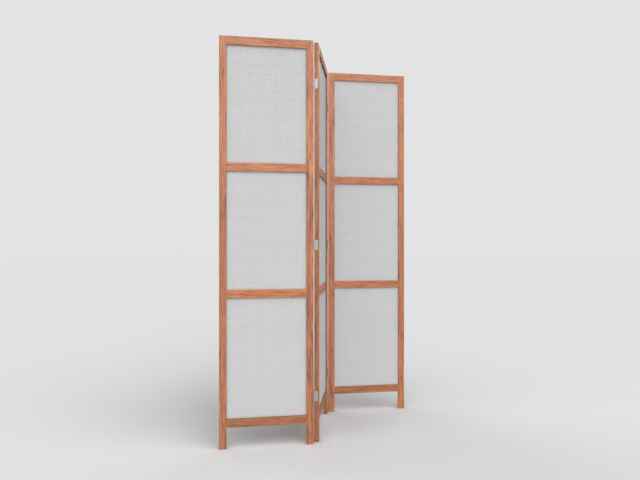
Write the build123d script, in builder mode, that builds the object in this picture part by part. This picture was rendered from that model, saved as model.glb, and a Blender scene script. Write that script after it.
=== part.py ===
"""Folding room divider screen: three framed panels with woven infills, joined in a zigzag.

Millimetres, +Z up, floor at z = 0.  The middle panel is centred on the origin and the two
outer panels stand parallel to X.  The left fold turns about an axis behind the panels and
the right fold about an axis in front of them, so the screen closes like a letter Z.

Each panel has its own plane: x runs along the panel, y points out of its back, z is up.
Each hinge leaf has one too: on the hinge's axis at mid-height, with x pointing out of the
edge that carries the leaf, and y out of the face that the barrel stands beyond.
"""
from build123d import *
from math import cos, radians, sin
import os

os.makedirs("parts", exist_ok=True)

# Frame of a panel
leg_height = 90.0  # floor to the bottom rail
rail_height = 37.0
lower_field_height = 510.0  # clear height of each opening between two rails
middle_field_height = 503.0
upper_field_height = 499.0
panel_width = 403.0
stile_width = 31.0
frame_thickness = 19.0
fold_angle = 75.0  # turn from one panel to the next, as the screen stands

# Joinery
tenon_length = 20.0
tenon_thickness = 6.0
tenon_shoulder = 9.0  # from the rail's edge to the tenon, above and below
glue_gap = 0.1  # around a tenon
mortise_relief = 1.0  # beyond a tenon's end

# Rebate, infill and beads
lip_thickness = 7.0  # front of the frame, left standing in front of the infill
rebate_width = 7.0
infill_thickness = 2.4
infill_clearance = 0.3
bead_clearance = 0.1

# Eased edges
arris_radius = 2.0  # outer edges of a panel
end_radius = 1.0  # around the top of a panel
field_arris_radius = 1.0  # front edges of an opening
foot_chamfer = 1.0

# Butt hinges
hinge_height = 44.0
bottom_hinge_height = 202.0  # floor to the hinge's middle
middle_hinge_rise = 189.0  # lower rail's top to the hinge's middle
top_hinge_drop = 180.0  # hinge's middle to the screen's top
leaf_thickness = 1.6
closed_leaf_gap = 0.8  # between the two leaves when the panels are in line
leaf_margin = 3.0  # bare wood between a leaf and the far face
leaf_corner_radius = 1.5
barrel_radius = 3.0
barrel_clearance = 0.5  # between the barrel and the face it stands beyond
knuckle_count = 5
knuckle_play = 0.2
pin_radius = 1.4
pin_play = 0.05
pin_head_radius = 2.3
pin_head_height = 0.9
pin_head_edge = 0.4  # chamfer of the heads

# Hinge screws
screw_length = 16.0
screw_radius = 1.4
screw_head_radius = 2.8
screw_tip_length = 3.0
screw_play = 0.1  # in the leaf
pilot_play = 0.05  # in the wood
pilot_relief = 1.0  # beyond the screw's tip
screw_margin = 9.5  # from a leaf's end to the middle of the nearer screw
screw_inset = 8.5  # from the face that the barrel stands beyond to the screws' line
recess_length = 3.2
recess_width = 0.8
recess_depth = 0.9

# Heights of the frame, from the floor up
bottom_rail_height = leg_height
lower_field_bottom = bottom_rail_height + rail_height
lower_rail_height = lower_field_bottom + lower_field_height
middle_field_bottom = lower_rail_height + rail_height
upper_rail_height = middle_field_bottom + middle_field_height
upper_field_bottom = upper_rail_height + rail_height
top_rail_height = upper_field_bottom + upper_field_height
screen_height = top_rail_height + rail_height

fields = {
    "lower": (lower_field_bottom, lower_field_height),
    "middle": (middle_field_bottom, middle_field_height),
    "upper": (upper_field_bottom, upper_field_height),
}
rails = {
    "bottom": (bottom_rail_height, ("top",)),
    "lower": (lower_rail_height, ("top", "bottom")),
    "upper": (upper_rail_height, ("top", "bottom")),
    "top": (top_rail_height, ("bottom",)),
}
hinges = {
    "bottom": bottom_hinge_height,
    "middle": middle_field_bottom + middle_hinge_rise,
    "top": screen_height - top_hinge_drop,
}

# Sizes that follow
field_width = panel_width - 2 * stile_width
front_face = -frame_thickness / 2
rebate_face = front_face + lip_thickness  # the lip's back, which the infill lies against
rebate_depth = frame_thickness - lip_thickness
bead_depth = rebate_depth - infill_thickness - 2 * infill_clearance
tenon_height = rail_height - 2 * tenon_shoulder
barrel_standoff = barrel_radius + barrel_clearance  # face to hinge axis
panel_gap = 2 * leaf_thickness + closed_leaf_gap  # edge to edge, with the panels in line
leaf_end = barrel_standoff + frame_thickness - leaf_margin  # hinge axis to the leaf's far edge
knuckle_pitch = hinge_height / knuckle_count
knuckle_reach = barrel_radius + knuckle_play  # hinge axis to the notches between knuckles
fixed_knuckles = range(0, knuckle_count, 2)
moving_knuckles = range(1, knuckle_count, 2)

# Where the panels stand
axis_reach = (panel_width + panel_gap) / 2  # panel's middle to a fold axis, along the panel
axis_offset = frame_thickness / 2 + barrel_standoff  # and through its thickness
middle_panel = Plane(
    origin=(0, 0, 0),
    x_dir=(cos(radians(fold_angle)), sin(radians(fold_angle)), 0),
    z_dir=(0, 0, 1),
)
left_fold_axis = middle_panel.from_local_coords((-axis_reach, axis_offset, 0))
right_fold_axis = middle_panel.from_local_coords((axis_reach, -axis_offset, 0))
left_panel = Plane(origin=left_fold_axis - Vector(axis_reach, axis_offset, 0))
right_panel = Plane(origin=right_fold_axis + Vector(axis_reach, axis_offset, 0))

left, right = -1, 1
front, back = -1, 1


def save(builder, name):
    """Label a finished piece and write its STEP file."""
    builder.part.label = name
    export_step(builder.part, f"parts/{name}.step")


def leaf_plane(panel, side, face, height):
    """The plane of the leaf on one edge of a panel, with its barrel beyond one face."""
    axis_place = (side * axis_reach, face * axis_offset, height)
    return Plane(
        origin=panel.from_local_coords(axis_place),
        x_dir=panel.x_dir * side,
        z_dir=panel.z_dir * side * face,
    )


def edge_plane(leaf, offset):
    """A plane across the panel's edge: x points to the barrel's face and z out of the edge."""
    return Plane(
        origin=leaf.from_local_coords((offset, 0, 0)),
        x_dir=leaf.y_dir,
        z_dir=leaf.x_dir,
    )


def screw_places():
    """The two screws of a leaf, one above the other, as places on its edge plane."""
    screw_line = -barrel_standoff - screw_inset
    screw_reach = hinge_height / 2 - screw_margin
    return [(screw_line, -screw_reach), (screw_line, screw_reach)]


def arris_waste(panel, inner_edge, face, low):
    """The sliver, seen from above, that rounding one inner edge of a stile takes away."""
    into_stile = 1 if inner_edge > 0 else -1
    turned_x = inner_edge + into_stile * field_arris_radius
    edge_y = face * frame_thickness / 2
    turned_y = edge_y - face * field_arris_radius
    with BuildSketch(panel.offset(low)) as waste:
        with BuildLine():
            Polyline((inner_edge, turned_y), (inner_edge, edge_y), (turned_x, edge_y))
            CenterArc(
                (turned_x, turned_y),
                field_arris_radius,
                90 * face,
                90 * face * into_stile,
            )
        make_face()
    return waste.sketch


def make_stile(name, panel, side, hinge_face=None):
    """A full-height upright with mortises, stopped rebates and, on a fold, pilot holes."""
    inner_edge = side * field_width / 2
    with BuildPart(panel) as stile:
        with BuildSketch(panel) as section:
            with Locations((side * (panel_width - stile_width) / 2, 0)):
                Rectangle(stile_width, frame_thickness)
            outer_corners = section.vertices().sort_by(Axis.X, reverse=side == left)[-2:]
            fillet(outer_corners, arris_radius)
        extrude(amount=screen_height)
        top_edges = stile.faces().sort_by(Axis.Z)[-1].edges()
        joint_middle = panel.from_local_coords((inner_edge, 0, screen_height))
        fillet(top_edges.sort_by_distance(joint_middle)[1:], end_radius)
        chamfer(stile.faces().sort_by(Axis.Z)[0].edges(), foot_chamfer)

        for low, height in fields.values():
            pocket_centre = (
                inner_edge + side * rebate_width / 2,
                rebate_face + rebate_depth / 2,
                low + height / 2,
            )
            with Locations(pocket_centre):
                Box(rebate_width, rebate_depth, height + 2 * rebate_width, mode=Mode.SUBTRACT)
            field_waste = arris_waste(panel, inner_edge, front, low)
            extrude(field_waste, amount=height, mode=Mode.SUBTRACT)
        for face in (front, back):
            leg_waste = arris_waste(panel, inner_edge, face, 0)
            extrude(leg_waste, amount=leg_height, mode=Mode.SUBTRACT)

        mortise_depth = tenon_length + mortise_relief
        for low, _ in rails.values():
            mortise_centre = (inner_edge + side * mortise_depth / 2, 0, low + rail_height / 2)
            with Locations(mortise_centre):
                Box(
                    mortise_depth,
                    tenon_thickness + 2 * glue_gap,
                    tenon_height + 2 * glue_gap,
                    mode=Mode.SUBTRACT,
                )

        if hinge_face:
            for height in hinges.values():
                leaf = leaf_plane(panel, side, hinge_face, height)
                with BuildSketch(edge_plane(leaf, -panel_gap / 2)):
                    with Locations(*screw_places()):
                        Circle(screw_radius + pilot_play)
                extrude(
                    amount=-(screw_length - leaf_thickness + pilot_relief),
                    mode=Mode.SUBTRACT,
                )
    save(stile, name)


def make_rail(name, panel, low, rebated_edges):
    """A crosspiece with a tenon at each end and a rebate along each edge that borders a field."""
    section_plane = Plane(
        origin=panel.from_local_coords((-field_width / 2, 0, low + rail_height / 2)),
        x_dir=panel.y_dir,
        z_dir=panel.x_dir,
    )
    with BuildPart(panel) as rail:
        with BuildSketch(section_plane) as section:
            Rectangle(frame_thickness, rail_height)
            for edge in rebated_edges:
                up = 1 if edge == "top" else -1
                cut_centre = (
                    rebate_face + rebate_depth / 2,
                    up * (rail_height - rebate_width) / 2,
                )
                with Locations(cut_centre):
                    Rectangle(rebate_depth, rebate_width, mode=Mode.SUBTRACT)
            for edge, group in (("bottom", 0), ("top", -1)):
                corners = section.vertices().group_by(Axis.Y)[group].sort_by(Axis.X)
                if edge in rebated_edges:
                    fillet(corners[0], field_arris_radius)
                elif edge == "top":
                    fillet(corners, end_radius)
                else:
                    fillet(corners, field_arris_radius)
        extrude(amount=field_width)
        for side in (left, right):
            tenon_centre = (
                side * (field_width + tenon_length) / 2,
                0,
                low + rail_height / 2,
            )
            with Locations(tenon_centre):
                Box(tenon_length, tenon_thickness, tenon_height)
    save(rail, name)


def make_infill(name, panel, low, height):
    """A woven sheet that fills the rebate around one field."""
    margin = rebate_width - infill_clearance
    sheet_centre = (
        0,
        rebate_face + infill_clearance + infill_thickness / 2,
        low + height / 2,
    )
    with BuildPart(panel) as infill:
        with Locations(sheet_centre):
            Box(field_width + 2 * margin, infill_thickness, height + 2 * margin)
    save(infill, name)


def make_beads(name, panel, low, height):
    """Four mitred beads that lie in the rebate behind the infill, flush with the back."""
    back_plane = Plane(
        origin=panel.from_local_coords((0, frame_thickness / 2, low + height / 2)),
        x_dir=-panel.x_dir,
        z_dir=panel.y_dir,
    )
    bead_width = rebate_width - bead_clearance
    with BuildPart() as beads:
        for along, across, upright in ((field_width, height, False), (height, field_width, True)):
            for end in (-1, 1):
                half_inner = along / 2 - bead_clearance
                half_outer = half_inner + bead_width
                inner = end * across / 2
                outer = inner + end * bead_width
                corners = [
                    (-half_inner, inner),
                    (half_inner, inner),
                    (half_outer, outer),
                    (-half_outer, outer),
                ]
                if upright:
                    corners = [(y, x) for x, y in corners]
                with BuildSketch(back_plane):
                    with BuildLine():
                        Polyline(*corners, close=True)
                    make_face()
                extrude(amount=-bead_depth)
    save(beads, name)


def make_leaf(name, leaf, knuckles):
    """A flat leaf on a panel's edge, with rolled knuckles around the fold axis."""
    open_face = edge_plane(leaf, leaf_thickness - panel_gap / 2)
    with BuildPart() as hinge_leaf:
        with BuildSketch(open_face) as plate:
            with Locations((-(leaf_end + knuckle_reach) / 2, 0)):
                Rectangle(leaf_end - knuckle_reach, hinge_height)
            fillet(plate.vertices().sort_by(Axis.X)[:2], leaf_corner_radius)
        extrude(amount=-leaf_thickness)
        neck_length = knuckle_reach + leaf_corner_radius
        for index in knuckles:
            low = index * knuckle_pitch - hinge_height / 2 + knuckle_play / 2
            with BuildSketch(leaf.offset(low)):
                Circle(barrel_radius)
                with Locations(((leaf_thickness - panel_gap) / 2, -neck_length / 2)):
                    Rectangle(leaf_thickness, neck_length)
                Circle(pin_radius + pin_play, mode=Mode.SUBTRACT)
            extrude(amount=knuckle_pitch - knuckle_play)
        with Locations(open_face):
            with Locations(*screw_places()):
                CounterSinkHole(
                    radius=screw_radius + screw_play,
                    counter_sink_radius=screw_head_radius + screw_play,
                    depth=leaf_thickness,
                    counter_sink_angle=90,
                )
    save(hinge_leaf, name)


def make_pin(name, leaf):
    """A pin through all the knuckles, with a chamfered head at each end."""
    with BuildPart(leaf) as pin:
        Cylinder(pin_radius, hinge_height)
        head_middle = (hinge_height + pin_head_height) / 2
        with Locations((0, 0, -head_middle), (0, 0, head_middle)):
            Cylinder(pin_head_radius, pin_head_height)
        for end_face in (pin.faces().sort_by(Axis.Z)[0], pin.faces().sort_by(Axis.Z)[-1]):
            chamfer(end_face.edges(), pin_head_edge)
    save(pin, name)


def make_screw():
    """One countersunk wood screw, with its head's face at z = 0 and its tip below."""
    head_depth = screw_head_radius - screw_radius
    with BuildPart() as screw:
        with BuildSketch(Plane.XZ):
            with BuildLine():
                Polyline(
                    (0, 0),
                    (screw_head_radius, 0),
                    (screw_radius, -head_depth),
                    (screw_radius, screw_tip_length - screw_length),
                    (0, -screw_length),
                    close=True,
                )
            make_face()
        revolve(axis=Axis.Z)
        with BuildSketch():
            Rectangle(recess_length, recess_width)
            Rectangle(recess_width, recess_length)
        extrude(amount=-recess_depth, mode=Mode.SUBTRACT)
    return screw.part


def make_screws(name, leaves):
    """The screws of every leaf that a panel carries, as one group of separate solids."""
    one_screw = make_screw()
    with BuildPart() as screws:
        for leaf in leaves:
            with Locations(edge_plane(leaf, leaf_thickness - panel_gap / 2)):
                with Locations(*screw_places()):
                    add(one_screw)
    save(screws, name)


panels = {"left_panel": left_panel, "middle_panel": middle_panel, "right_panel": right_panel}
hinged_edges = {
    "left_panel": {right: back},
    "middle_panel": {left: back, right: front},
    "right_panel": {left: front},
}

for panel_name, panel in panels.items():
    edges = hinged_edges[panel_name]
    for side_name, side in (("left", left), ("right", right)):
        make_stile(f"{panel_name}_{side_name}_stile", panel, side, edges.get(side))
    for rail_name, (low, rebated_edges) in rails.items():
        make_rail(f"{panel_name}_{rail_name}_rail", panel, low, rebated_edges)
    for field_name, (low, height) in fields.items():
        make_infill(f"{panel_name}_{field_name}_infill", panel, low, height)
        make_beads(f"{panel_name}_{field_name}_beads", panel, low, height)
    leaves = [
        leaf_plane(panel, side, face, height)
        for side, face in edges.items()
        for height in hinges.values()
    ]
    make_screws(f"{panel_name}_hinge_screws", leaves)

folds = {
    "left_fold": (left, back, left_panel),
    "right_fold": (right, front, right_panel),
}
for fold_name, (side, face, outer_panel) in folds.items():
    for hinge_name, height in hinges.items():
        hinge = f"{fold_name}_{hinge_name}_hinge"
        fixed_leaf = leaf_plane(middle_panel, side, face, height)
        moving_leaf = leaf_plane(outer_panel, -side, face, height)
        make_leaf(f"{hinge}_fixed_leaf", fixed_leaf, fixed_knuckles)
        make_leaf(f"{hinge}_moving_leaf", moving_leaf, moving_knuckles)
        make_pin(f"{hinge}_pin", fixed_leaf)
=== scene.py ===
"""Dresses the folding room divider screen: woven infills, lacquered timber and plated hinges.

Metres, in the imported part's own frame.  Each panel has its own directions: along it, out of
its back, and up.  The file is laid out as an add-on and is run as a script.
"""
import math
import random

import bpy
import numpy as np
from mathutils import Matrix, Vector


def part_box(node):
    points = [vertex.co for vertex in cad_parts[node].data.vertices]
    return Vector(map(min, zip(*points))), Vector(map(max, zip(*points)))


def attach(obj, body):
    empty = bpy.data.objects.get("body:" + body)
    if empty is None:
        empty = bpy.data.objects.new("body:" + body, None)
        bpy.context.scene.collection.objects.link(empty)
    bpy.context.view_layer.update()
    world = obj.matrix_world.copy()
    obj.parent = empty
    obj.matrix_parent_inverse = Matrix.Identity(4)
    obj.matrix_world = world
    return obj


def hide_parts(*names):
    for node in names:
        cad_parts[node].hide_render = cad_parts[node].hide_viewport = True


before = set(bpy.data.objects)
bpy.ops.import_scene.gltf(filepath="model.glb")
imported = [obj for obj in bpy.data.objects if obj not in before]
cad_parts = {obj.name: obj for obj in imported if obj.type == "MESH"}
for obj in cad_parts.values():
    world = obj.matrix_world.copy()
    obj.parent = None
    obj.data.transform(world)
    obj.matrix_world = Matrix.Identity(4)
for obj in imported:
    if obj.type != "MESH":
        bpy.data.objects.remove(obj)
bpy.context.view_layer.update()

bl_info = {
    "name": "Divider Screen Dressing",
    "version": (1, 0, 0),
    "blender": (4, 5, 0),
    "location": "3D View > Sidebar > Divider Screen",
    "description": "Weaves the infills and finishes the timber and hinges of a folding screen",
    "category": "Object",
}

PANELS = ("left_panel", "middle_panel", "right_panel")
FIELDS = {  # each with the rail below it and the one above
    "lower": ("bottom", "lower"),
    "middle": ("lower", "upper"),
    "upper": ("upper", "top"),
}
RAILS = ("bottom", "lower", "upper", "top")
SIDES = ("left", "right")
HINGES = ("bottom", "middle", "top")
LAMPS = ("front", "left", "right", "back_left", "back_right")
UP = Vector((0, 0, 1))
DRAW_SEED = 29  # for every random draw
STILE_TONES_AND_PAINTED_LIGHT = {  # how bright a stile is at its foot, below the upper rails and above: partly the plank's own tone and partly painted light, with brighter feet standing in for light bounced off the floor and some stiles lightened or darkened for the light that reaches them
    "left_panel_left_stile": (0.98, 0.84, 0.98),
    "left_panel_right_stile": (0.96, 0.86, 0.99),
    "middle_panel_left_stile": (0.86, 0.86, 0.93),
    "middle_panel_right_stile": (0.86, 0.86, 0.93),
    "right_panel_left_stile": (1.12, 0.95, 1.08),
    "right_panel_right_stile": (1.12, 0.91, 0.98),
}
EVEN_TONES = (1.0, 1.0, 1.0)
FOOT_TONE_REACH = 0.05  # up to this height a stile is as bright as at its foot
TONE_WANDER = 0.05  # how unevenly a change of tone runs across the plank
TONE_BLEND = 0.03  # the height that the change to the upper tone takes
LIVELY_STILES = {"left_panel_right_stile": 1.25}  # how much the grain of a livelier plank swings
RAIL_TONES_PAINTED_SHADE_AND_GLOSS = {  # how bright a rail is, and how much of the usual lacquer it has: the bottom rails and the middle panel's top rail are darkened as painted shade
    "bottom": (0.77, 1.0),
    "lower": (1.03, 1.0),
    "upper": (1.0, 1.0),
    "top": (0.98, 1.0),
    "middle_panel_top_rail": (0.7, 0.045),
}
LACQUER_SHINE = 0.5
LACQUER_COAT = 0.1
LACQUER_COAT_ROUGHNESS = 0.25
WEAVE_SHINE = 0.1
WEAVE_PAINTED_SHADE_TONES = {"left_panel": 1.0, "middle_panel": 0.95, "right_panel": 1.0}  # how bright each panel's strands are: the middle panel's are darkened as painted shade


def display(red, green, blue):
    """A colour as it reads on a screen, from 0 to 255, as the linear value that shading uses."""
    shares = (channel / 255 for channel in (red, green, blue))
    return tuple(s / 12.92 if s <= 0.04045 else ((s + 0.055) / 1.055) ** 2.4 for s in shares)


# Places, read from the frame


def middle_of(node):
    """The middle of a CAD node's box."""
    low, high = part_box(node)
    return (low + high) / 2


def reach(node, direction):
    """How far a CAD node reaches, lowest and highest, along a direction."""
    places = [vertex.co.dot(direction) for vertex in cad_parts[node].data.vertices]
    return min(places), max(places)


class PanelAxes:
    """A panel's own directions, and the angle that it is turned by about the upright."""

    def __init__(self, panel):
        run = middle_of(f"{panel}_right_stile") - middle_of(f"{panel}_left_stile")
        self.along = run.normalized()
        self.out = UP.cross(self.along)
        self.turn = math.atan2(self.along.y, self.along.x)

    def place(self, along, out, up):
        """Points of the part's frame, from arrays of distances in the panel's directions."""
        return (
            along[..., None] * np.array(self.along)
            + out[..., None] * np.array(self.out)
            + up[..., None] * np.array(UP)
        )


def put_in_scene(name, data):
    """A new object that shows a mesh, a lamp or a camera."""
    thing = bpy.data.objects.new(name, data)
    bpy.context.scene.collection.objects.link(thing)
    return thing


# Node trees


def add(tree, kind, inputs=None, **settings):
    """A node with its settings, whose inputs are set, or linked where a socket is given."""
    node = tree.nodes.new(kind)
    for name, value in settings.items():
        setattr(node, name, value)
    for key, value in (inputs or {}).items():
        if isinstance(value, bpy.types.NodeSocket):
            tree.links.new(value, node.inputs[key])
        else:
            node.inputs[key].default_value = value
    return node


def maths(tree, operation, *values, clamp=False):
    """The result of a Math node."""
    inputs = dict(enumerate(values))
    return add(tree, "ShaderNodeMath", inputs, operation=operation, use_clamp=clamp).outputs[0]


def vector_maths(tree, operation, *values, result="Vector"):
    """The result of a Vector Math node, which is a Value for a length or a dot product."""
    inputs = dict(enumerate(values))
    return add(tree, "ShaderNodeVectorMath", inputs, operation=operation).outputs[result]


def noise(tree, place, stretch, detail):
    """Noise whose cells are 1 / stretch metres long on each axis, from 0 to 1."""
    cells = vector_maths(tree, "MULTIPLY", place, stretch)
    inputs = {"Vector": cells, "Scale": 1.0, "Detail": detail}
    return add(tree, "ShaderNodeTexNoise", inputs).outputs["Fac"]


def spread(tree, value, low, high, to_low=0.0, to_high=1.0, course="LINEAR"):
    """A value's range from low to high mapped to another, and held at its ends."""
    inputs = dict(enumerate((value, low, high, to_low, to_high)))
    return add(tree, "ShaderNodeMapRange", inputs, interpolation_type=course).outputs[0]


def mixed(tree, factor, first, second):
    """Two colours mixed by a factor."""
    inputs = {0: factor, 6: first, 7: second}
    return add(tree, "ShaderNodeMix", inputs, data_type="RGBA").outputs[2]


def opaque(colour, tone=1.0):
    """A colour, made brighter or darker by a tone, with its fourth channel."""
    return (*(channel * tone for channel in colour), 1.0)


class Group:
    """A shader node group with named inputs and outputs, built once."""

    def __init__(self, name, inputs, outputs):
        self.tree = bpy.data.node_groups.new(name, "ShaderNodeTree")
        for label, (kind, value) in inputs.items():
            socket = self.tree.interface.new_socket(
                name=label, in_out="INPUT", socket_type=f"NodeSocket{kind}"
            )
            socket.default_value = value
        for label, kind in outputs.items():
            self.tree.interface.new_socket(
                name=label, in_out="OUTPUT", socket_type=f"NodeSocket{kind}"
            )
        self.given = self.tree.nodes.new("NodeGroupInput").outputs

    def give_out(self, **results):
        """Links the results to the group's outputs, by name with underscores for spaces."""
        end = self.tree.nodes.new("NodeGroupOutput")
        for label, socket in results.items():
            self.tree.links.new(socket, end.inputs[label.replace("_", " ")])


def placed(tree, group_name, inputs):
    """The outputs of a node group placed in a tree with its own values."""
    group = bpy.data.node_groups[group_name]
    return add(tree, "ShaderNodeGroup", inputs, node_tree=group).outputs


# Effects that materials share

PIECE_INPUTS = {  # a place, the middle of its piece and how far the piece's panel is turned
    "Place": ("Vector", (0, 0, 0)),
    "Middle": ("Vector", (0, 0, 0)),
    "Turn": ("Float", 0.0),
}
RING_WANDER = 0.016  # how far the growth rings stray from circles
PLAIN_DEPTH = 0.45  # the depth of tone about which the timber's grain swings


def turned_back(tree, given):
    """The place from its piece's middle, in the panel's own directions, whole and in parts."""
    centred = vector_maths(tree, "SUBTRACT", given["Place"], given["Middle"])
    back_turn = maths(tree, "MULTIPLY", given["Turn"], -1.0)
    inputs = {"Vector": centred, "Angle": back_turn}
    turned = add(tree, "ShaderNodeVectorRotate", inputs, rotation_type="Z_AXIS").outputs[0]
    return turned, add(tree, "ShaderNodeSeparateXYZ", {0: turned}).outputs


def make_grain_place_group():
    """Turns a place on the part into a place in the plank, with z along the grain."""
    group = Group(
        "Grain place",
        {**PIECE_INPUTS, "Lying": ("Float", 0.0), "Pith": ("Vector", (0, 0, 0))},
        {"Grain place": "Vector"},
    )
    tree, given = group.tree, group.given
    turned, parts = turned_back(tree, given)
    swapped = {0: parts[2], 1: parts[1], 2: parts[0]}
    lying_down = add(tree, "ShaderNodeCombineXYZ", swapped).outputs[0]
    choice = {0: given["Lying"], 4: turned, 5: lying_down}
    chosen = add(tree, "ShaderNodeMix", choice, data_type="VECTOR").outputs[1]
    group.give_out(Grain_place=vector_maths(tree, "ADD", chosen, given["Pith"]))


def make_bead_run_group():
    """Tells the lying beads of a field from its upright ones, up to their mitres."""
    group = Group(
        "Bead run",
        {**PIECE_INPUTS, "Half width": ("Float", 0.17), "Half height": ("Float", 0.25)},
        {"Lying": "Float"},
    )
    tree, given = group.tree, group.given
    parts = turned_back(tree, given)[1]
    sideways = maths(tree, "SUBTRACT", maths(tree, "ABSOLUTE", parts[0]), given["Half width"])
    upwards = maths(tree, "SUBTRACT", maths(tree, "ABSOLUTE", parts[2]), given["Half height"])
    group.give_out(Lying=maths(tree, "GREATER_THAN", upwards, sideways))


def make_timber_group():
    """Growth rings, streaks, fibres, pores and pale flecks of an orange-brown hardwood."""
    group = Group(
        "Timber grain",
        {
            "Grain place": ("Vector", (0, 0, 0)),
            "Brightness": ("Float", 1.0),
            "Liveliness": ("Float", 1.0),
            "Ring spacing": ("Float", 0.002),
            "Pale": ("Color", (1, 1, 1, 1)),
            "Warm": ("Color", (1, 1, 1, 1)),
            "Tan": ("Color", (1, 1, 1, 1)),
            "Dark": ("Color", (0, 0, 0, 1)),
        },
        {"Color": "Color", "Roughness": "Float", "Height": "Float"},
    )
    tree, given = group.tree, group.given
    place = given["Grain place"]
    parts = add(tree, "ShaderNodeSeparateXYZ", {0: place}).outputs
    across = add(tree, "ShaderNodeCombineXYZ", {0: parts[0], 1: parts[1]}).outputs[0]
    radius = vector_maths(tree, "LENGTH", across, result="Value")
    # z runs along the grain, where every noise has its longest cells
    bend = noise(tree, place, (14, 14, 2.2), detail=2)
    wandering = maths(tree, "MULTIPLY_ADD", bend, RING_WANDER, radius)
    turns = maths(tree, "DIVIDE", wandering, given["Ring spacing"])
    ring = add(tree, "ShaderNodeValToRGB", {0: maths(tree, "FRACT", turns)})
    ring.color_ramp.elements[0].color = (0.35, 0.35, 0.35, 1)
    ring.color_ramp.elements[1].color = (0.35, 0.35, 0.35, 1)
    for position, value in ((0.1, 0.0), (0.72, 0.45), (0.93, 1.0)):
        ring.color_ramp.elements.new(position).color = (value, value, value, 1)
    figure = spread(tree, noise(tree, place, (110, 110, 5), detail=3), 0.32, 0.68)
    streak = spread(tree, noise(tree, place, (240, 240, 22), detail=4), 0.30, 0.70)
    fibre = spread(tree, noise(tree, place, (1500, 1500, 26), detail=3), 0.28, 0.72)
    hue = noise(tree, vector_maths(tree, "ADD", place, (3.1, 1.7, 0.4)), (30, 30, 4), detail=1)
    fleck = spread(tree, noise(tree, place, (420, 420, 60), detail=2), 0.60, 0.72)
    pore = spread(tree, noise(tree, place, (950, 950, 80), detail=2), 0.58, 0.72)

    depth = maths(tree, "MULTIPLY_ADD", figure, 0.44, -0.12)
    depth = maths(tree, "MULTIPLY_ADD", streak, 0.56, depth)
    depth = maths(tree, "MULTIPLY_ADD", fibre, 0.20, depth)
    depth = maths(tree, "MULTIPLY_ADD", ring.outputs[0], 0.10, depth)
    swing = maths(tree, "SUBTRACT", depth, PLAIN_DEPTH)
    depth = maths(tree, "MULTIPLY_ADD", swing, given["Liveliness"], PLAIN_DEPTH)
    body = mixed(tree, spread(tree, hue, 0.35, 0.65), given["Warm"], given["Tan"])
    pale_part = mixed(tree, spread(tree, depth, 0.0, 0.5), given["Pale"], body)
    colour = mixed(tree, spread(tree, depth, 0.5, 1.0), pale_part, given["Dark"])
    fleck = maths(tree, "MULTIPLY", maths(tree, "MULTIPLY", fleck, 0.55), given["Liveliness"])
    colour = mixed(tree, fleck, colour, given["Pale"])
    colour = mixed(tree, maths(tree, "MULTIPLY", pore, 0.40), colour, given["Dark"])
    # the brightness carries painted light and shade as well as the piece's own tone
    scaled = {0: colour, "Scale": given["Brightness"]}
    colour = add(tree, "ShaderNodeVectorMath", scaled, operation="SCALE").outputs["Vector"]

    rough = maths(tree, "MULTIPLY_ADD", fibre, 0.16, 0.40)
    rough = maths(tree, "MULTIPLY_ADD", pore, 0.18, rough)
    height = maths(tree, "MULTIPLY_ADD", pore, -0.6, maths(tree, "MULTIPLY", fibre, 0.5))
    height = maths(tree, "MULTIPLY_ADD", ring.outputs[0], 0.22, height)
    group.give_out(Color=colour, Roughness=rough, Height=height)


def make_edge_wear_group():
    """A mask of the rounded edges that hands rub, broken up by noise."""
    group = Group(
        "Edge wear",
        {"Place": ("Vector", (0, 0, 0)), "Radius": ("Float", 0.0015), "Amount": ("Float", 0.5)},
        {"Mask": "Float"},
    )
    tree, given = group.tree, group.given
    rounded = add(tree, "ShaderNodeBevel", {"Radius": given["Radius"]}, samples=4).outputs[0]
    facing = add(tree, "ShaderNodeNewGeometry").outputs["Normal"]
    likeness = vector_maths(tree, "DOT_PRODUCT", rounded, facing, result="Value")
    edge = spread(tree, likeness, 1.0, 0.86)
    breakup = spread(tree, noise(tree, given["Place"], (90, 90, 34), detail=3), 0.38, 0.62)
    mask = maths(tree, "MULTIPLY", maths(tree, "MULTIPLY", edge, breakup), given["Amount"])
    group.give_out(Mask=mask)


def make_plating_group():
    """Satin plating: fine brush lines up and down, soft clouds and a few rubbed spots."""
    group = Group(
        "Satin plating",
        {
            "Place": ("Vector", (0, 0, 0)),
            "Plate": ("Color", (1, 1, 1, 1)),
            "Tarnish": ("Color", (0, 0, 0, 1)),
            "Wear": ("Float", 0.0),
        },
        {"Color": "Color", "Roughness": "Float", "Height": "Float"},
    )
    tree, given = group.tree, group.given
    brush = noise(tree, given["Place"], (6000, 6000, 160), detail=2)
    cloud = noise(tree, given["Place"], (130, 130, 90), detail=3)
    spots = spread(tree, noise(tree, given["Place"], (900, 900, 900), detail=1), 0.66, 0.78)
    stained = maths(tree, "MULTIPLY_ADD", spots, 0.35, spread(tree, cloud, 0.35, 0.75, 0, 0.45))
    stained = maths(tree, "SUBTRACT", stained, given["Wear"], clamp=True)
    colour = mixed(tree, stained, given["Plate"], given["Tarnish"])
    rough = maths(tree, "MULTIPLY_ADD", brush, 0.14, 0.40)
    rough = maths(tree, "MULTIPLY_ADD", stained, 0.22, rough)
    height = maths(tree, "MULTIPLY_ADD", spots, -0.4, brush)
    group.give_out(Color=colour, Roughness=rough, Height=height)


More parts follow.
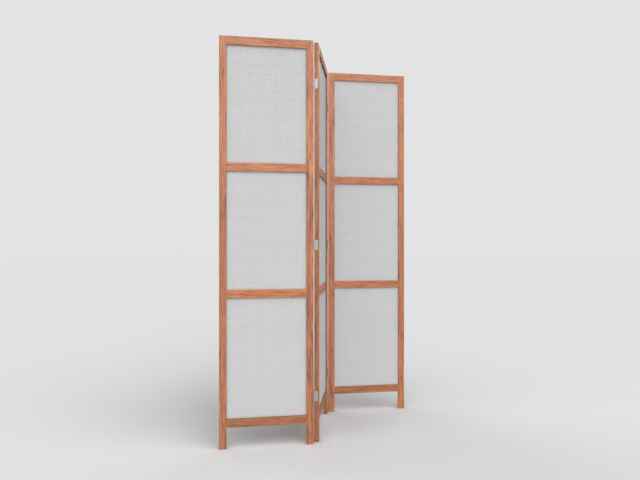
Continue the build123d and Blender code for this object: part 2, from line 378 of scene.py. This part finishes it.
def make_strand_group():
    """A flat spun strand: fibres along it, paler in the middle and darkened by painted shade at
    its edges.
    """
    group = Group(
        "Spun strand",
        {
            "Along": ("Float", 0.0),
            "Across": ("Float", 0.0),
            "Draw": ("Float", 0.5),
            "Fibre": ("Color", (1, 1, 1, 1)),
            "Shade": ("Color", (0.5, 0.5, 0.5, 1)),
        },
        {"Color": "Color", "Roughness": "Float", "Height": "Float"},
    )
    tree, given = group.tree, group.given
    along = maths(tree, "MULTIPLY", given["Along"], 90.0)
    across = maths(tree, "MULTIPLY", given["Across"], 4.5)
    strand = maths(tree, "MULTIPLY", given["Draw"], 431.0)
    place = add(tree, "ShaderNodeCombineXYZ", {0: along, 1: across, 2: strand}).outputs[0]
    fibres = noise(tree, place, (1, 1, 1), detail=3)
    slubs = noise(tree, place, (0.12, 0.25, 1), detail=1)
    # painted shade: the strand darkens towards its edges, where it meets its neighbours
    edge = maths(tree, "POWER", maths(tree, "ABSOLUTE", given["Across"]), 3.0)
    shade = maths(tree, "MULTIPLY_ADD", fibres, 0.9, -0.28)
    shade = maths(tree, "MULTIPLY_ADD", edge, 0.35, shade)
    shade = maths(tree, "MULTIPLY_ADD", slubs, 0.35, shade)
    shade = maths(tree, "MULTIPLY_ADD", given["Draw"], 0.25, shade)
    colour = mixed(tree, spread(tree, shade, 0.1, 1.1), given["Fibre"], given["Shade"])
    rough = maths(tree, "MULTIPLY_ADD", fibres, 0.15, 0.72)
    group.give_out(Color=colour, Roughness=rough, Height=fibres)


# Materials

TIMBER_EDGE = 0.0024  # how far from an edge the timber is darkened and made rougher
WORN_ROUGHNESS = 0.2  # how much rougher the timber is there
PLATE_EDGE = 0.0004  # how far from an edge the plating is rubbed
PLATE_METAL = 0.7  # how metallic the satin plating is


def blank_material(name):
    """A new material with an empty node tree, and that tree."""
    material = bpy.data.materials.new(name)
    material.use_nodes = True
    material.node_tree.nodes.clear()
    return material, material.node_tree


def shade(tree, inputs, height, bump_depth, bump_strength):
    """Ends a material in a Principled shader with a bump made from a height."""
    relief = {"Height": height, "Distance": bump_depth, "Strength": bump_strength}
    bump = add(tree, "ShaderNodeBump", relief).outputs[0]
    surface = add(tree, "ShaderNodeBsdfPrincipled", {**inputs, "Normal": bump})
    add(tree, "ShaderNodeOutputMaterial", {"Surface": surface.outputs[0]})


def timber_material(
    node, axes, lying, draw, tones, change_height=1.0, liveliness=1.0, gloss=1.0
):
    """Lacquered timber for one piece, with its own stretch of grain.

    The tones are its brightness at its foot, below the height of change and above it; besides the
    plank's own tone they carry painted light and shade.
    Lying is 1 for a rail, 0 for a stile, and None for beads, which run both ways.
    """
    timber = bpy.context.scene.divider_timber
    material, tree = blank_material(f"Timber {node}")
    place = add(tree, "ShaderNodeTexCoord").outputs["Object"]
    shift = draw.uniform(-timber.tone_variation, timber.tone_variation)
    foot, lower, upper = (tone + shift for tone in tones)
    brightness = upper
    # painted light: a stile grows brighter towards its foot and changes brightness at the height
    # of change
    if lower != upper:
        height = add(tree, "ShaderNodeSeparateXYZ", {0: place}).outputs[2]
        wander = noise(tree, place, (160, 160, 12), detail=1)
        height = maths(tree, "MULTIPLY_ADD", wander, TONE_WANDER, height)
        low, high = change_height, change_height + TONE_BLEND
        brightness = spread(tree, height, FOOT_TONE_REACH, timber.foot_height, foot, lower)
        brightness = spread(tree, height, low, high, brightness, upper)
    middle = middle_of(node)
    where = {"Place": place, "Middle": middle, "Turn": axes.turn}
    if lying is None:
        left, right = reach(node, axes.along)
        bottom, top = reach(node, UP)
        sizes = {"Half width": (right - left) / 2, "Half height": (top - bottom) / 2}
        lying = placed(tree, "Bead run", {**where, **sizes})["Lying"]
    # the plank was sawn a little beside the tree's middle, anywhere up its trunk
    pith = (draw.uniform(0.03, 0.07), draw.uniform(-0.05, 0.05), draw.uniform(1.0, 9.0))
    grain_place = placed(tree, "Grain place", {**where, "Lying": lying, "Pith": pith})[0]
    grain = placed(
        tree,
        "Timber grain",
        {
            "Grain place": grain_place,
            "Brightness": brightness,
            "Liveliness": liveliness,
            "Ring spacing": timber.ring_spacing,
            "Pale": opaque(timber.pale_colour),
            "Warm": opaque(timber.warm_colour),
            "Tan": opaque(timber.tan_colour),
            "Dark": opaque(timber.dark_colour),
        },
    )
    # the edge mask darkens every edge of the timber towards the dark colour and makes it rougher
    worn = {"Place": place, "Radius": TIMBER_EDGE, "Amount": timber.wear}
    wear = placed(tree, "Edge wear", worn)
    colour = mixed(tree, wear["Mask"], grain["Color"], opaque(timber.dark_colour))
    rough = maths(tree, "MULTIPLY_ADD", wear["Mask"], WORN_ROUGHNESS, grain["Roughness"])
    inputs = {
        "Base Color": colour,
        "Roughness": rough,
        "Specular IOR Level": LACQUER_SHINE * gloss,
        "Coat Weight": LACQUER_COAT * gloss,
        "Coat Roughness": LACQUER_COAT_ROUGHNESS,
    }
    shade(tree, inputs, grain["Height"], bump_depth=0.0003, bump_strength=0.5)
    return material


def plated_material(name):
    """Satin plated steel, as on the leaves, the pins, the screws and the brads."""
    plating = bpy.context.scene.divider_plating
    material, tree = blank_material(name)
    place = add(tree, "ShaderNodeTexCoord").outputs["Object"]
    worn = {"Place": place, "Radius": PLATE_EDGE, "Amount": plating.wear}
    wear = placed(tree, "Edge wear", worn)
    plate = placed(
        tree,
        "Satin plating",
        {
            "Place": place,
            "Plate": opaque(plating.plate_colour),
            "Tarnish": opaque(plating.tarnish_colour),
            "Wear": wear["Mask"],
        },
    )
    inputs = {
        "Base Color": plate["Color"],
        "Roughness": plate["Roughness"],
        "Metallic": PLATE_METAL,
    }
    shade(tree, inputs, plate["Height"], bump_depth=0.00005, bump_strength=0.4)
    return material


def woven_material(name, tone):
    """The infills' strands: the upright ones a little deeper in tone than the cross ones."""
    weave = bpy.context.scene.divider_weave
    material, tree = blank_material(name)
    # painted shade: the tone darkens a panel's strands
    cross, upright = opaque(weave.cross_colour, tone), opaque(weave.upright_colour, tone)
    read = {
        label: add(tree, "ShaderNodeAttribute", attribute_name=label).outputs["Fac"]
        for label in ("strand_along", "strand_across", "strand_draw", "strand_upright")
    }
    fibre = mixed(tree, read["strand_upright"], cross, upright)
    strand = placed(
        tree,
        "Spun strand",
        {
            "Along": read["strand_along"],
            "Across": read["strand_across"],
            "Draw": read["strand_draw"],
            "Fibre": fibre,
            "Shade": opaque(weave.shade_colour, tone),
        },
    )
    inputs = {
        "Base Color": strand["Color"],
        "Roughness": strand["Roughness"],
        "Specular IOR Level": WEAVE_SHINE,
    }
    shade(tree, inputs, strand["Height"], bump_depth=0.00015, bump_strength=0.5)
    return material


def dress(node, material):
    """Gives a CAD node its material in every slot that its mesh has."""
    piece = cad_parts[node]
    if not piece.material_slots:
        piece.data.materials.append(material)
    for material_slot in piece.material_slots:
        material_slot.material = material


# Woven infills

SAMPLES_PER_CROSSING = 3
STRAND_SIDES = np.array((-1.0, 0.0, 1.0))  # one edge, the middle, the other edge
DRIFT_WAVES = 4
DRIFT_LENGTHS = (0.7, 1.5)  # of the shortest and the longest wave, as shares of drift_length
DRIFT_RIM = 0.25  # the width of the steadier rim, as a share of drift_length
BAKE_MAP = "OFBake"  # lays the strands side by side, so that none overlaps another
LANE_SHARE = 0.46  # how much of its lane on that map each half of a strand takes


class Strands:
    """Flat strands that run one way, each passing over one crossing and under the next."""

    def __init__(self, start, end, low, high, crossings, count, side, weave, draw):
        """They run from start to end and are spaced evenly from low to high.

        The side, 1 or -1, says on which side the first of them passes its first crossing.
        """
        pitch = (high - low) / count
        samples = crossings * SAMPLES_PER_CROSSING + 1
        centres = low + (np.arange(count) + 0.5) * pitch
        widths = np.array([1 + draw.uniform(-1, 1) * weave.width_variation for _ in centres])
        half_widths = widths * weave.strand_width / 2
        along = np.linspace(0, crossings, samples)
        turns = (-1.0) ** np.arange(count)[:, None, None]
        over = side * np.sin(np.pi * along)[None, :, None] * turns
        lift = np.where(STRAND_SIDES == 0, weave.strand_lift, weave.edge_lift)
        shape = (count, samples, len(STRAND_SIDES))
        self.across = np.broadcast_to(
            centres[:, None, None] + half_widths[:, None, None] * STRAND_SIDES, shape
        )
        self.along = np.broadcast_to(
            (start + (end - start) * along / crossings)[None, :, None], shape
        )
        self.out = over * lift
        self.side = np.broadcast_to(STRAND_SIDES, shape)
        self.draw = np.broadcast_to(
            np.array([draw.random() for _ in centres])[:, None, None], shape
        )
        self.number = np.broadcast_to(np.arange(count)[:, None, None], shape)

    def quads(self, first):
        """The faces, as rows of four vertex numbers that count from first."""
        count, samples, sides = self.along.shape
        corner = first + np.arange(count * samples * sides).reshape(count, samples, sides)
        near, far = corner[:, :-1], corner[:, 1:]
        faces = (near[..., :-1], near[..., 1:], far[..., 1:], far[..., :-1])
        return np.stack(faces, axis=-1).reshape(-1, 4)

    def bake_places(self, half):
        """Each vertex's place on the bake's map, in its lower or upper half."""
        count = len(self.along)
        lane = (self.number + 0.5 + self.side * LANE_SHARE) / count
        run = (self.along - self.along.min()) / np.ptp(self.along)
        return np.stack((run, (lane + half) / 2), axis=-1).reshape(-1, 2)


def drift_field(low, high, weave, draw):
    """A slow drift over a field, which dies away at its rim.

    Given places along and up, it tells how far the weave has slipped there along and up.
    """
    waves = []
    for _ in range(2 * DRIFT_WAVES):
        heading = draw.uniform(0, 2 * math.pi)
        turns = 2 * math.pi / (weave.drift_length * draw.uniform(*DRIFT_LENGTHS))
        phase = draw.uniform(0, 2 * math.pi)
        waves.append((turns * math.cos(heading), turns * math.sin(heading), phase))

    def slip(along, up):
        places = np.stack((along, up), axis=-1)
        rim = np.minimum(places - low, high - places).min(axis=-1) / weave.drift_length
        fade = weave.drift / DRIFT_WAVES * np.clip(rim / DRIFT_RIM, 0, 1) ** 2
        swings = [np.sin(a * along + b * up + phase) for a, b, phase in waves]
        return fade * sum(swings[::2]), fade * sum(swings[1::2])

    return slip


def write_numbers(mesh, name, upright, cross):
    """Keeps one number for each vertex of the strands, for their material to read."""
    numbers = np.concatenate((upright.ravel(), cross.ravel()))
    attribute = mesh.attributes.new(name, "FLOAT", "POINT")
    attribute.data.foreach_set("value", numbers.astype(np.float32))


def weave_field(name, infill, axes, weave, draw):
    """A plain weave as large as an infill's solid: upright strands and the strands across."""
    left, right = reach(infill, axes.along)
    front, back = reach(infill, axes.out)
    bottom, top = reach(infill, UP)
    columns = round((right - left) / weave.strand_pitch)
    rows = round((top - bottom) / weave.strand_pitch)
    upright = Strands(bottom, top, left, right, rows, columns, 1, weave, draw)
    cross = Strands(left, right, bottom, top, columns, rows, -1, weave, draw)
    along = np.concatenate((upright.across.ravel(), cross.along.ravel()))
    up = np.concatenate((upright.along.ravel(), cross.across.ravel()))
    out = (front + back) / 2 + np.concatenate((upright.out.ravel(), cross.out.ravel()))
    slip_along, slip_up = drift_field((left, bottom), (right, top), weave, draw)(along, up)
    points = axes.place(along + slip_along, out, up + slip_up)
    faces = np.concatenate((upright.quads(0), cross.quads(upright.along.size)))
    mesh = bpy.data.meshes.new(name)
    mesh.from_pydata(points.tolist(), [], faces.tolist())
    mesh.shade_smooth()
    write_numbers(mesh, "strand_along", upright.along, cross.along)
    write_numbers(mesh, "strand_across", upright.side, cross.side)
    write_numbers(mesh, "strand_draw", upright.draw, cross.draw)
    write_numbers(mesh, "strand_upright", np.ones(upright.side.size), np.zeros(cross.side.size))
    places = np.concatenate((upright.bake_places(0), cross.bake_places(1)))
    bake_map = mesh.uv_layers.new(name=BAKE_MAP)
    bake_map.uv.foreach_set("vector", places[faces.ravel()].astype(np.float32).ravel())
    return put_in_scene(name, mesh), (right - left, top - bottom)


# Brads

BRAD_STEPS = 12
BRAD_PROFILE = (  # radius and height of a head, as shares of its radius
    (0.0, 0.16),
    (0.62, 0.12),
    (1.0, 0.02),
    (1.0, -0.4),
    (0.0, -0.4),
)


def ring_of(radius, height):
    """The points of one ring of a brad's head, or its middle where the radius is none."""
    if radius == 0:
        return [(0.0, 0.0, height)]
    angles = [2 * math.pi * step / BRAD_STEPS for step in range(BRAD_STEPS)]
    return [(radius * math.cos(a), radius * math.sin(a), height) for a in angles]


def brad_head(radius):
    """Points and faces of one low domed head, turned about its own axis."""
    rings = [ring_of(r * radius, h * radius) for r, h in BRAD_PROFILE]
    points = [point for ring in rings for point in ring]
    faces, first = [], 0
    for ring, following in zip(rings, rings[1:]):
        second = first + len(ring)
        for step in range(BRAD_STEPS):
            turn = (step + 1) % BRAD_STEPS
            face = (
                first + step % len(ring),
                second + step % len(following),
                second + turn % len(following),
                first + turn % len(ring),
            )
            faces.append(tuple(dict.fromkeys(face)))
        first = second
    return points, faces


def brad_places(panel, field, axes, settings):
    """Where the brads of one field's beads stand, along the panel and up it."""
    beads = f"{panel}_{field}_beads"
    below, above = FIELDS[field]
    outer = reach(beads, axes.along)
    inner = (
        reach(f"{panel}_left_stile", axes.along)[1],
        reach(f"{panel}_right_stile", axes.along)[0],
    )
    outer_up = reach(beads, UP)
    inner_up = (reach(f"{panel}_{below}_rail", UP)[1], reach(f"{panel}_{above}_rail", UP)[0])
    lines = [(outer[end] + inner[end]) / 2 for end in (0, 1)]
    levels = [(outer_up[end] + inner_up[end]) / 2 for end in (0, 1)]

    def along_bead(low, high):
        low, high = low + settings.corner_distance, high - settings.corner_distance
        count = round((high - low) / settings.spacing)
        return [low + (high - low) * step / count for step in range(count + 1)]

    upright = [(line, up) for line in lines for up in along_bead(*inner_up)]
    lying = [(along, level) for level in levels for along in along_bead(*inner)]
    return upright + lying


def drive_brads(panel, axes, settings, draw):
    """The heads of the brads that hold one panel's beads, almost flush with their backs.

    Each is sunk by up to a tenth of its radius, and strays from its place by up to half of it.
    """
    head_points, head_faces = brad_head(settings.head_radius)
    back = reach(f"{panel}_lower_beads", axes.out)[1]
    points, faces = [], []
    for field in FIELDS:
        for along, up in brad_places(panel, field, axes, settings):
            sunk = draw.uniform(0, settings.head_radius / 10)
            shift = draw.uniform(-1, 1) * settings.head_radius / 2
            base = axes.along * (along + shift / 2) + axes.out * (back - sunk) + UP * (up + shift)
            faces += [tuple(len(points) + corner for corner in face) for face in head_faces]
            points += [base + axes.along * x + UP * y + axes.out * z for x, y, z in head_points]
    mesh = bpy.data.meshes.new(f"{panel}_bead_brads")
    mesh.from_pydata(points, [], faces)
    mesh.shade_smooth()
    return put_in_scene(mesh.name, mesh)


# Studio

LAMP_DISTANCE = 4  # where a lamp is drawn, which doesn't change its light
SENSOR_WIDTH = 36  # millimetres


def seen_share(tree):
    """1 for what the eye, mirrors and glass see, and 0 for what lights the screen."""
    rays = add(tree, "ShaderNodeLightPath").outputs
    seen = maths(tree, "MAXIMUM", rays["Is Camera Ray"], rays["Is Glossy Ray"])
    return maths(tree, "MAXIMUM", seen, rays["Is Transmission Ray"])


def make_floor(settings):
    """A wide flat floor, which takes the screen's shadow, is darkened beside the screen by painted
    shade, and fades into the backdrop far off.
    """
    half = settings.floor_size / 2
    mesh = bpy.data.meshes.new("studio_floor")
    corners = [(-half, -half, 0), (half, -half, 0), (half, half, 0), (-half, half, 0)]
    mesh.from_pydata(corners, [], [(0, 1, 2, 3)])
    floor = put_in_scene("studio_floor", mesh)
    material, tree = blank_material("Studio floor")
    plain = opaque(settings.floor_colour)
    # painted shade: an ambient occlusion node darkens the floor's colour beside the screen
    painted_shade_inputs = {"Color": plain, "Distance": settings.painted_shade_reach}
    painted_shade_colour = add(tree, "ShaderNodeAmbientOcclusion", painted_shade_inputs, samples=16).outputs["Color"]
    colour = mixed(tree, settings.painted_shade_depth, plain, painted_shade_colour)
    place = add(tree, "ShaderNodeTexCoord").outputs["Object"]
    far_off = vector_maths(tree, "LENGTH", place, result="Value")
    start, end = settings.fade_start, settings.fade_end
    faded = spread(tree, far_off, start, end, course="SMOOTHERSTEP")
    faded = maths(tree, "MULTIPLY", faded, seen_share(tree))
    black = opaque((0, 0, 0))
    inputs = {
        "Base Color": mixed(tree, faded, colour, black),
        "Roughness": 1.0,
        "Specular IOR Level": 0.0,
        "Emission Color": mixed(tree, faded, black, opaque(settings.backdrop_colour)),
        "Emission Strength": 1.0,
    }
    material.cycles.emission_sampling = "NONE"  # the fading lights nothing
    surface = add(tree, "ShaderNodeBsdfPrincipled", inputs)
    add(tree, "ShaderNodeOutputMaterial", {"Surface": surface.outputs[0]})
    mesh.materials.append(material)


def make_sky(settings):
    """Even light from all round, behind which the eye and mirrors see the plain backdrop."""
    world = bpy.data.worlds.new("Studio")
    bpy.context.scene.world = world
    world.use_nodes = True
    tree = world.node_tree
    tree.nodes.clear()
    white = {"Color": opaque((1, 1, 1)), "Strength": settings.sky_strength}
    light = add(tree, "ShaderNodeBackground", white)
    pale = {"Color": opaque(settings.backdrop_colour), "Strength": 1.0}
    backdrop = add(tree, "ShaderNodeBackground", pale)
    both = {0: seen_share(tree), 1: light.outputs[0], 2: backdrop.outputs[0]}
    mix = add(tree, "ShaderNodeMixShader", both)
    add(tree, "ShaderNodeOutputWorld", {"Surface": mix.outputs[0]})


def hang_lamp(name, strength, heading, elevation, angle):
    """A broad distant lamp. Heading 0 is in front, and it grows towards the right."""
    data = bpy.data.lights.new(name, "SUN")
    data.energy = strength
    data.angle = angle
    lamp = put_in_scene(name, data)
    towards = Vector(
        (
            math.sin(heading) * math.cos(elevation),
            -math.cos(heading) * math.cos(elevation),
            math.sin(elevation),
        )
    )
    lamp.rotation_mode = "QUATERNION"
    lamp.rotation_quaternion = towards.to_track_quat("Z", "Y")
    lamp.location = towards * LAMP_DISTANCE


def place_camera(settings):
    """The camera, half as high as the screen, before its left half and turned a little right."""
    data = bpy.data.cameras.new("Camera")
    data.lens = settings.lens
    data.sensor_width = SENSOR_WIDTH
    data.shift_y = settings.shift
    camera = put_in_scene("Camera", data)
    camera.location = settings.camera_place
    camera.rotation_euler = (math.pi / 2, 0, -settings.camera_heading)
    bpy.context.scene.camera = camera


# Settings


def length_setting(name, description, default):
    """The setting for a length."""
    return bpy.props.FloatProperty(
        name=name, description=description, default=default, unit="LENGTH"
    )


def share_setting(name, description, default):
    """The setting for a share of a whole."""
    return bpy.props.FloatProperty(
        name=name, description=description, default=default, subtype="FACTOR"
    )


def angle_setting(name, description, degrees):
    """The setting for an angle, whose default is given in degrees."""
    return bpy.props.FloatProperty(
        name=name, description=description, default=math.radians(degrees), subtype="ANGLE"
    )


def colour_setting(name, description, shown):
    """The setting for a colour, whose default is given as a screen shows it."""
    return bpy.props.FloatVectorProperty(
        name=name, description=description, default=display(*shown), subtype="COLOR"
    )


class WeaveSettings(bpy.types.PropertyGroup):
    """Sizes and colours of the woven infills."""

    strand_pitch: length_setting(
        "Strand pitch", "From the middle of one strand to the middle of the next", 0.0052
    )
    strand_width: length_setting("Strand width", "Across one flat strand", 0.0048)
    strand_lift: length_setting(
        "Strand lift", "How far a strand's middle stands out of the sheet's middle", 0.0012
    )
    edge_lift: length_setting(
        "Edge lift", "How far a strand's edges stand out of the sheet's middle", 0.0005
    )
    width_variation: share_setting(
        "Width variation", "How much the strands' widths differ, as a share", 0.03
    )
    drift: length_setting("Drift", "How far the weave slips at most from its even spacing", 0.001)
    drift_length: length_setting(
        "Drift length", "About how far it is from one slip to the next", 0.08
    )
    cross_colour: colour_setting(
        "Cross strands", "Colour of the strands that run across", (215, 215, 215)
    )
    upright_colour: colour_setting(
        "Upright strands", "Colour of the strands that run up", (207, 207, 208)
    )
    # at the strands' edges this colour is painted shade
    shade_colour: colour_setting(
        "Strand shade", "Colour between the fibres and at the strands' edges", (188, 188, 189)
    )


class TimberSettings(bpy.types.PropertyGroup):
    """Grain and colours of the frames and beads."""

    ring_spacing: length_setting("Ring spacing", "From one growth ring to the next", 0.0021)
    tone_variation: share_setting(
        "Tone variation", "How much lighter or darker one piece is than another", 0.03
    )
    foot_height: length_setting("Foot height", "How far up a stile its foot's tone reaches", 0.35)
    # this darkens every edge of the timber alike
    wear: share_setting("Edge wear", "How far the handled edges are darkened", 0.55)
    pale_colour: colour_setting(
        "Pale grain", "Colour of the flecks and the early wood", (207, 138, 93)
    )
    warm_colour: colour_setting("Warm grain", "The redder of the two body colours", (176, 104, 66))
    tan_colour: colour_setting("Tan grain", "The yellower of the two body colours", (176, 113, 71))
    dark_colour: colour_setting(
        "Dark grain", "Colour of the late wood, the pores and handled edges", (110, 58, 33)
    )


class PlatingSettings(bpy.types.PropertyGroup):
    """Colours of the plated hinges, screws and brads."""

    plate_colour: colour_setting("Plate", "Colour of the clean plating", (176, 176, 174))
    tarnish_colour: colour_setting("Tarnish", "Colour of the dulled plating", (150, 150, 142))
    wear: share_setting("Edge wear", "How far the edges are rubbed bright", 0.6)


class BradSettings(bpy.types.PropertyGroup):
    """Sizes of the brads that hold the beads."""

    head_radius: length_setting("Head radius", "Radius of a brad's head", 0.00075)
    spacing: length_setting("Spacing", "About how far the brads stand apart", 0.12)
    corner_distance: length_setting(
        "Corner distance", "From a field's corner to the first brad", 0.025
    )


def lamp_strength(lamp, strength):
    """The setting for how strong a lamp is."""
    return bpy.props.FloatProperty(
        name=f"{lamp.capitalize()} lamp strength",
        description=f"Strength of the {lamp} lamp",
        default=strength,
    )


def lamp_heading(lamp, degrees):
    """The setting for how far round the screen a lamp hangs."""
    return angle_setting(
        f"{lamp.capitalize()} lamp heading",
        f"How far to the right of the front the {lamp} lamp hangs",
        degrees,
    )


def lamp_elevation(lamp, degrees):
    """The setting for how high a lamp hangs."""
    return angle_setting(
        f"{lamp.capitalize()} lamp elevation", f"How high the {lamp} lamp hangs", degrees
    )


class StudioSettings(bpy.types.PropertyGroup):
    """The floor, the lamps and the camera."""

    floor_size: length_setting("Floor size", "Length of the floor's sides", 160.0)
    fade_start: length_setting(
        "Fade start", "How far off the floor begins to fade into the backdrop", 4.0
    )
    fade_end: length_setting("Fade end", "How far off the floor is lost in the backdrop", 45.0)
    floor_colour: colour_setting("Floor", "Colour of the floor", (225, 225, 225))
    # painted shade: how far and how strongly the floor's colour is darkened beside the screen
    painted_shade_reach: length_setting(
        "Contact reach", "How far from the screen the floor darkens beside it", 1.4
    )
    painted_shade_depth: share_setting(
        "Contact depth", "How strongly the floor darkens beside the screen", 0.5
    )
    backdrop_colour: colour_setting("Backdrop", "Colour seen behind the screen", (227, 227, 227))
    sky_strength: bpy.props.FloatProperty(
        name="Sky strength",
        description="Strength of the even light from all round",
        default=0.01,
    )
    lamp_breadth: angle_setting(
        "Lamp breadth", "How broad each lamp looks, which softens its shadow", 50
    )
    front_strength: lamp_strength("front", 1.42)
    front_heading: lamp_heading("front", 0)
    front_elevation: lamp_elevation("front", 20)
    left_strength: lamp_strength("left", 1.12)
    left_heading: lamp_heading("left", -45)
    left_elevation: lamp_elevation("left", 50)
    right_strength: lamp_strength("right", 1.45)
    right_heading: lamp_heading("right", 45)
    right_elevation: lamp_elevation("right", 50)
    back_left_strength: lamp_strength("back left", 1.03)
    back_left_heading: lamp_heading("back left", -135)
    back_left_elevation: lamp_elevation("back left", 20)
    back_right_strength: lamp_strength("back right", 0.95)
    back_right_heading: lamp_heading("back right", 135)
    back_right_elevation: lamp_elevation("back right", 20)
    lens: bpy.props.FloatProperty(
        name="Lens",
        description="Focal length, in millimetres",
        default=29.17,
    )
    shift: bpy.props.FloatProperty(
        name="Shift",
        description="Upward shift of the picture, as a share of its width",
        default=0.0023,
    )
    camera_place: bpy.props.FloatVectorProperty(
        name="Camera place",
        description="Where the camera stands",
        default=(-0.3694, -2.443, 0.8787),
        subtype="TRANSLATION",
        unit="LENGTH",
    )
    camera_heading: angle_setting(
        "Camera heading", "How far the camera is turned to the right", 8.43
    )


# Operators


class DIVIDER_OT_mix_finishes(bpy.types.Operator):
    """Build the node groups that the materials share"""

    bl_idname = "divider.mix_finishes"
    bl_label = "Mix Finishes"

    def execute(self, context):
        make_grain_place_group()
        make_bead_run_group()
        make_timber_group()
        make_edge_wear_group()
        make_plating_group()
        make_strand_group()
        return {"FINISHED"}


class DIVIDER_OT_finish_frames(bpy.types.Operator):
    """Give each stile and rail lacquered timber with its own stretch of grain"""

    bl_idname = "divider.finish_frames"
    bl_label = "Finish Frames"

    def execute(self, context):
        draw = random.Random(DRAW_SEED)
        for panel in PANELS:
            axes = PanelAxes(panel)
            change = middle_of(f"{panel}_upper_rail").z
            for side in SIDES:
                node = f"{panel}_{side}_stile"
                tones, liveliness = STILE_TONES_AND_PAINTED_LIGHT[node], LIVELY_STILES.get(node, 1.0)
                dress(node, timber_material(node, axes, 0.0, draw, tones, change, liveliness))
            for rail in RAILS:
                node = f"{panel}_{rail}_rail"
                # painted shade darkens the bottom rails and the middle panel's top rail
                tone, gloss = RAIL_TONES_PAINTED_SHADE_AND_GLOSS.get(node, RAIL_TONES_PAINTED_SHADE_AND_GLOSS[rail])
                dress(node, timber_material(node, axes, 1.0, draw, (tone,) * 3, gloss=gloss))
        return {"FINISHED"}


class DIVIDER_OT_finish_beads(bpy.types.Operator):
    """Give each set of beads lacquered timber whose grain turns at the mitres"""

    bl_idname = "divider.finish_beads"
    bl_label = "Finish Beads"

    def execute(self, context):
        draw = random.Random(DRAW_SEED + 1)
        for panel in PANELS:
            axes = PanelAxes(panel)
            for field in FIELDS:
                node = f"{panel}_{field}_beads"
                dress(node, timber_material(node, axes, None, draw, EVEN_TONES))
        return {"FINISHED"}


class DIVIDER_OT_plate_hinges(bpy.types.Operator):
    """Plate the hinge leaves, the pins and the screws"""

    bl_idname = "divider.plate_hinges"
    bl_label = "Plate Hinges"

    def execute(self, context):
        hinge_plate = plated_material("Hinge plating")
        screw_plate = plated_material("Screw plating")
        for fold in ("left_fold", "right_fold"):
            for hinge in HINGES:
                for piece in ("fixed_leaf", "moving_leaf", "pin"):
                    dress(f"{fold}_{hinge}_hinge_{piece}", hinge_plate)
        for panel in PANELS:
            dress(f"{panel}_hinge_screws", screw_plate)
        return {"FINISHED"}


class DIVIDER_OT_weave_infills(bpy.types.Operator):
    """Weave the nine infills in place of their plain solids"""

    bl_idname = "divider.weave_infills"
    bl_label = "Weave Infills"

    def execute(self, context):
        weave = context.scene.divider_weave
        draw = random.Random(DRAW_SEED + 2)
        for panel in PANELS:
            axes = PanelAxes(panel)
            material = woven_material(f"Woven strands {panel}", WEAVE_PAINTED_SHADE_TONES[panel])
            for field, rails in FIELDS.items():
                infill = f"{panel}_{field}_infill"
                piece, cut = weave_field(f"{panel}_{field}_weave", infill, axes, weave, draw)
                piece.data.materials.append(material)
                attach(piece, panel)
                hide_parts(infill)
                held_by = [f"{panel}_{field}_beads"]
                held_by += [f"{panel}_{rail}_rail" for rail in rails]
                held_by += [f"{panel}_{side}_stile" for side in SIDES]
        return {"FINISHED"}


class DIVIDER_OT_drive_brads(bpy.types.Operator):
    """Set the brad heads in the backs of the beads"""

    bl_idname = "divider.drive_brads"
    bl_label = "Drive Brads"

    def execute(self, context):
        draw = random.Random(DRAW_SEED + 3)
        material = plated_material("Brad plating")
        for panel in PANELS:
            piece = drive_brads(panel, PanelAxes(panel), context.scene.divider_brads, draw)
            piece.data.materials.append(material)
            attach(piece, panel)
        return {"FINISHED"}


class DIVIDER_OT_set_studio(bpy.types.Operator):
    """Lay the floor, hang the lamps and place the camera"""

    bl_idname = "divider.set_studio"
    bl_label = "Set Studio"

    def execute(self, context):
        settings = context.scene.divider_studio
        make_floor(settings)
        make_sky(settings)
        for lamp in LAMPS:
            hang_lamp(
                f"{lamp}_lamp",
                getattr(settings, f"{lamp}_strength"),
                getattr(settings, f"{lamp}_heading"),
                getattr(settings, f"{lamp}_elevation"),
                settings.lamp_breadth,
            )
        place_camera(settings)
        context.scene.view_settings.view_transform = "Standard"
        return {"FINISHED"}


class DIVIDER_PT_dressing(bpy.types.Panel):
    """Sizes, colours and steps of the screen's dressing"""

    bl_idname = "DIVIDER_PT_dressing"
    bl_label = "Divider Screen"
    bl_space_type = "VIEW_3D"
    bl_region_type = "UI"
    bl_category = "Divider Screen"

    def draw(self, context):
        layout = self.layout
        layout.use_property_split = True
        for name, (label, group) in SETTINGS.items():
            box = layout.box()
            box.label(text=label)
            for value in group.__annotations__:
                box.prop(getattr(context.scene, name), value)
        for operator in OPERATORS:
            layout.operator(operator.bl_idname)


SETTINGS = {
    "divider_timber": ("Timber", TimberSettings),
    "divider_weave": ("Weave", WeaveSettings),
    "divider_plating": ("Plating", PlatingSettings),
    "divider_brads": ("Brads", BradSettings),
    "divider_studio": ("Studio", StudioSettings),
}
OPERATORS = (
    DIVIDER_OT_mix_finishes,
    DIVIDER_OT_finish_frames,
    DIVIDER_OT_finish_beads,
    DIVIDER_OT_plate_hinges,
    DIVIDER_OT_weave_infills,
    DIVIDER_OT_drive_brads,
    DIVIDER_OT_set_studio,
)


def register():
    """Registers the settings, the operators and the panel."""
    for name, (_, group) in SETTINGS.items():
        bpy.utils.register_class(group)
        setattr(bpy.types.Scene, name, bpy.props.PointerProperty(type=group))
    for operator in OPERATORS:
        bpy.utils.register_class(operator)
    bpy.utils.register_class(DIVIDER_PT_dressing)


def unregister():
    """Takes back all that register added."""
    bpy.utils.unregister_class(DIVIDER_PT_dressing)
    for operator in reversed(OPERATORS):
        bpy.utils.unregister_class(operator)
    for name, (_, group) in reversed(SETTINGS.items()):
        delattr(bpy.types.Scene, name)
        bpy.utils.unregister_class(group)


def main():
    """Dresses the screen, step by step."""
    register()
    bpy.ops.divider.mix_finishes()
    bpy.ops.divider.finish_frames()
    bpy.ops.divider.finish_beads()
    bpy.ops.divider.plate_hinges()
    bpy.ops.divider.weave_infills()
    bpy.ops.divider.drive_brads()
    bpy.ops.divider.set_studio()


if __name__ == "__main__":
    main()
